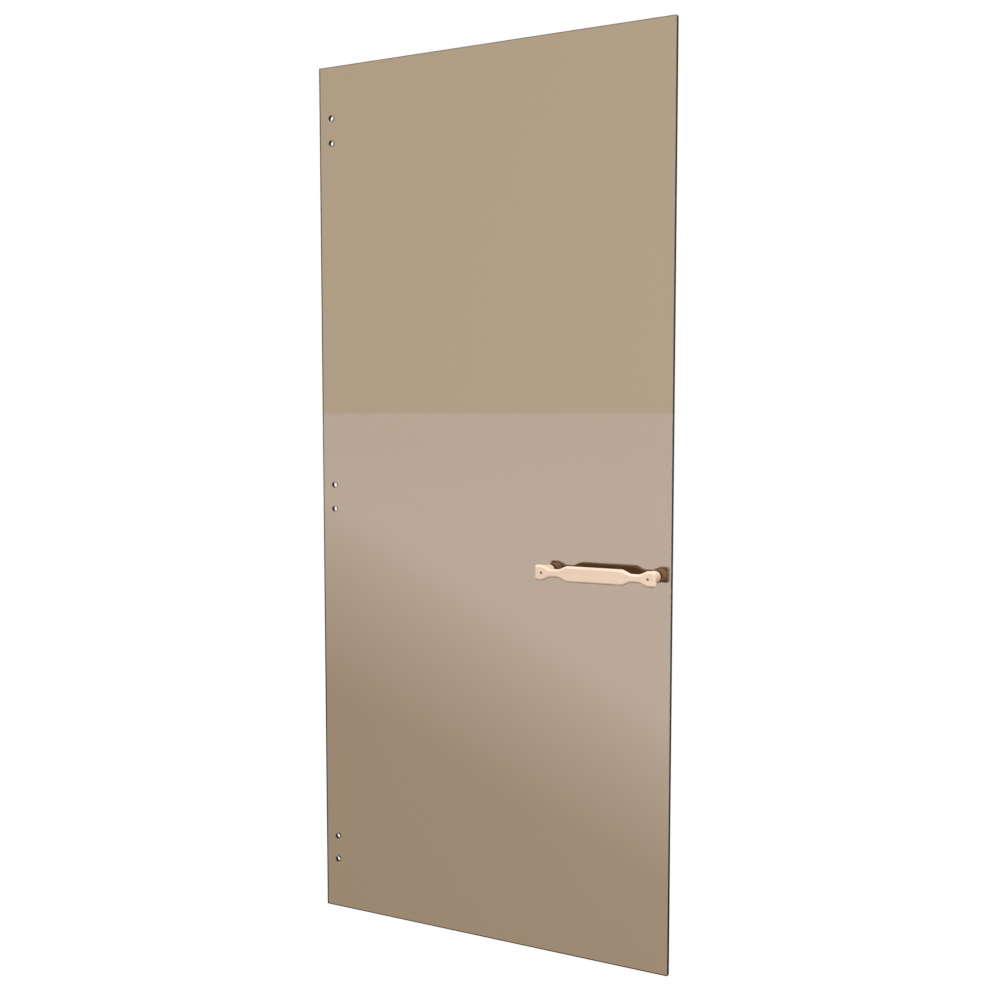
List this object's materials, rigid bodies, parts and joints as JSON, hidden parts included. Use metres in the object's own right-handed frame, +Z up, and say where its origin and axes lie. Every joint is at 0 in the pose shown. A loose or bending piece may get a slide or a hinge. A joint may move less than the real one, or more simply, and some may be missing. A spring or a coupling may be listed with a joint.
{
  "type": "glass sauna door leaf",
  "caption": "Frameless bronze glass sauna door leaf with waisted wooden grip bars on both faces and drilled hinge seats.",
  "frame": {"origin": "middle hinge seat: the point of the glass's front face midway between the two middle hinge holes, at half the leaf's height", "axes": "+X from the hinge edge to the latch edge, +Y through the glass to the back face, +Z up"},
  "size_m": [0.822, 0.098, 1.89],
  "materials": {
    "bronze_glass": "polished bronze-tinted toughened glass, ground edges",
    "grip_wood": "smooth sanded light hardwood, unvarnished",
    "spacer_wood": "smooth turned light hardwood, unvarnished",
    "gasket_rubber": "matt tan soft washer",
    "bush_nylon": "natural nylon",
    "fastener_steel": "dull blackened steel"
  },
  "bodies": {
    "root": {"glass_leaf": "bronze_glass", "front_grip": "grip_wood", "back_grip": "grip_wood", "front_spacer_hinge_side": "spacer_wood", "front_spacer_latch_side": "spacer_wood", "back_spacer_hinge_side": "spacer_wood", "back_spacer_latch_side": "spacer_wood", "front_gasket_hinge_side": "gasket_rubber", "front_gasket_latch_side": "gasket_rubber", "back_gasket_hinge_side": "gasket_rubber", "back_gasket_latch_side": "gasket_rubber", "glass_bush_hinge_side": "bush_nylon", "glass_bush_latch_side": "bush_nylon", "through_screw_hinge_side": "fastener_steel", "through_screw_latch_side": "fastener_steel", "sleeve_nut_hinge_side": "fastener_steel", "sleeve_nut_latch_side": "fastener_steel"}
  },
  "joints": []
}
